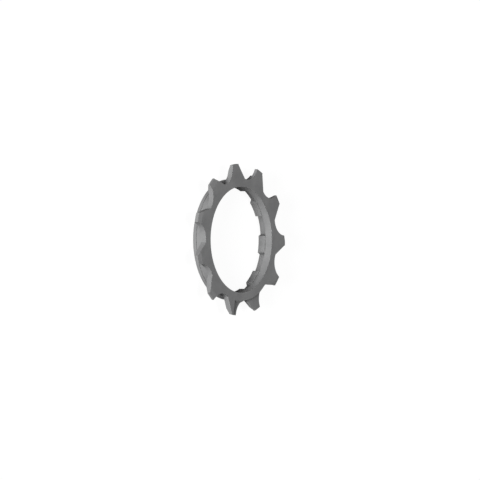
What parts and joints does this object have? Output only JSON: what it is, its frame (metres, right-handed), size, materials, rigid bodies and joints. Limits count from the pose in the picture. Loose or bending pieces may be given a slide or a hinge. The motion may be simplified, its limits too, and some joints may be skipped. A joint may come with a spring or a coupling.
{
  "type": "cassette cog",
  "caption": "Smallest sprocket of a bicycle cassette, one steel piece with a spacer behind it and splines in its bore.",
  "frame": {"origin": "on the axis of the bore, in the plane of the spacer's back face, on which it lies", "axes": "+Z along the axis, from the spacer's back face to the toothed front face, away from the wheel; +X through the middle of the first tooth"},
  "size_m": [0.0459, 0.0463, 0.005],
  "materials": {
    "steel": "plain grey plated steel, matt, with lightly worn edges"
  },
  "bodies": {
    "root": {"cog": "steel"}
  },
  "joints": []
}
